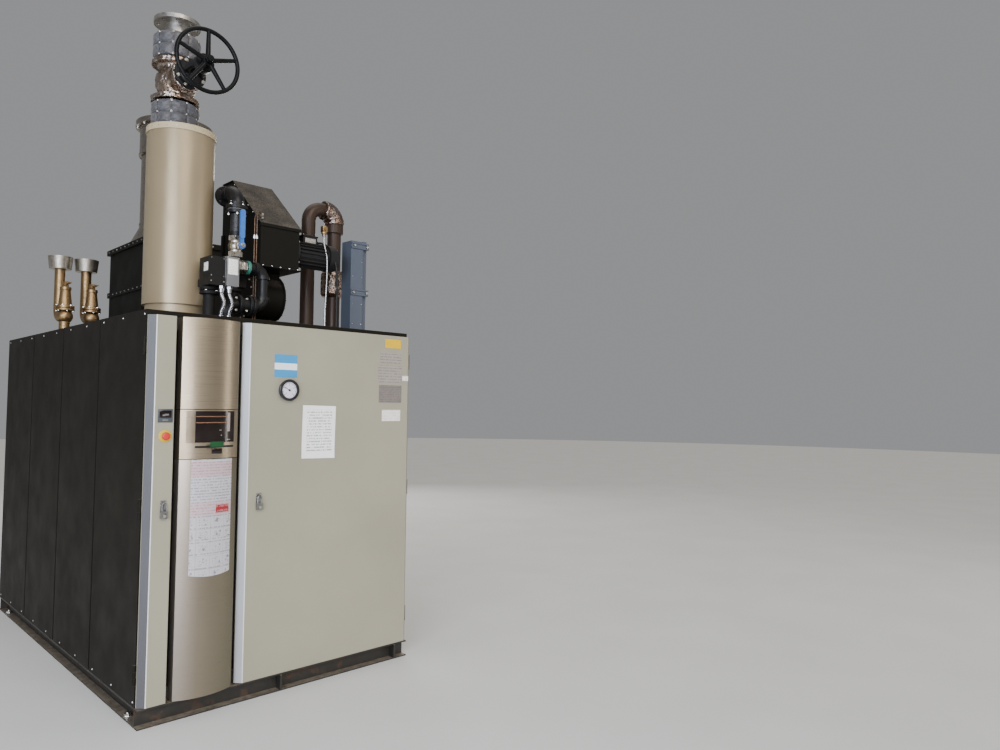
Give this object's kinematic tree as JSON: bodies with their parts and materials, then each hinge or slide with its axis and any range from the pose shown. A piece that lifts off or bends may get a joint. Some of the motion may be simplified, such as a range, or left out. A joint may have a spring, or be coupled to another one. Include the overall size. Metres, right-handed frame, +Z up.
{
  "type": "industrial steam boiler",
  "caption": "Modular steam boiler in a sheet-metal cabinet with hinged front doors, a separator column with a handwheel steam valve, a gas train, an air duct and a flue stack on its roof.",
  "frame": {"origin": "middle of the base frame's underside", "axes": "+Z up, the front with the doors faces -Y, +X to the right seen from the front"},
  "size_m": [1.585, 2.868, 3.701],
  "materials": {
    "channel_paint": "worn brown primer",
    "wall_paint": "dark satin paint",
    "door_paint": "satin greige paint",
    "column_sheet": "satin paint on rolled sheet",
    "frame_paint": "dark satin paint",
    "casing_sheet": "plain cladding sheet",
    "pane": "smoked pane",
    "stop_button": "moulded",
    "latch_steel": "plated",
    "gauge_case": "black enamel",
    "jacket_sheet": "satin paint on rolled sheet",
    "quilt": "coated glass cloth",
    "foil": "crumpled foil tape",
    "cast_dark": "black enamel",
    "wheel_black": "black enamel",
    "flange_steel": "machined",
    "valve_nickel": "nickel plate",
    "lever_blue": "dipped vinyl",
    "actuator_grey": "textured paint",
    "flex_steel": "corrugated hose",
    "duct_paint": "dusty dark paint",
    "motor_paint": "dark paint",
    "flue_steel": "heat-tinted sheet",
    "trunk_paint": "blue-grey paint",
    "lagging": "brown cladding",
    "bronze": "cast bronze",
    "pan_steel": "dull plated sheet"
  },
  "bodies": {
    "root": {"base_side_rails": "channel_paint", "base_end_rails": "channel_paint", "base_cross_members": "channel_paint", "left_side_panel": "wall_paint", "right_side_panel": "wall_paint", "rear_panel": "wall_paint", "roof_deck": "wall_paint", "front_frame": "frame_paint", "boiler_casing": "casing_sheet", "column_upper": "column_sheet", "control_panel": "column_sheet", "column_lower": "column_sheet", "display_window": "pane", "left_door_hinges": "frame_paint", "main_door_hinges": "frame_paint", "separator_jacket": "jacket_sheet", "neck_cover": "quilt", "steam_valve_body": "foil", "steam_valve_yoke": "cast_dark", "outlet_cover": "quilt", "outlet_flange": "flange_steel", "gas_inlet_pipe": "cast_dark", "gas_ball_valve": "valve_nickel", "gas_valve_actuator": "actuator_grey", "gas_valve_body": "actuator_grey", "burner_gas_pipe": "cast_dark", "valve_conduits": "flex_steel", "air_duct": "duct_paint", "blower_casing": "duct_paint", "blower_motor": "motor_paint", "flue_box": "duct_paint", "flue_stack": "flue_steel", "wiring_trunk": "trunk_paint", "feed_pipe": "lagging", "safety_valves": "bronze", "drip_pans": "pan_steel"},
    "left_door": {"left_door": "door_paint", "left_door_display": "pane", "emergency_stop": "stop_button", "left_door_latch": "latch_steel"},
    "main_door": {"main_door": "door_paint", "pressure_gauge": "gauge_case", "main_door_latch": "latch_steel"},
    "handwheel": {"handwheel": "wheel_black"},
    "valve_lever": {"ball_valve_lever": "lever_blue"}
  },
  "joints": [
    {"name": "left_door_hinge", "type": "hinge", "parent": "root", "child": "left_door", "pos_m": [-0.7845, -1.3675, 0.098], "axis": [0, 0, -1], "range_deg": [0, 110]},
    {"name": "main_door_hinge", "type": "hinge", "parent": "root", "child": "main_door", "pos_m": [0.7845, -1.3675, 0.098], "axis": [0, 0, 1], "range_deg": [0, 110]},
    {"name": "handwheel_spin", "type": "hinge", "parent": "root", "child": "handwheel", "pos_m": [-0.4545, -1.207, 3.332], "axis": [0, 1, 0], "continuous": true},
    {"name": "valve_lever_turn", "type": "hinge", "parent": "root", "child": "valve_lever", "pos_m": [-0.1655, -1.051, 2.416], "axis": [0, 1, 0], "range_deg": [0, 90]}
  ]
}
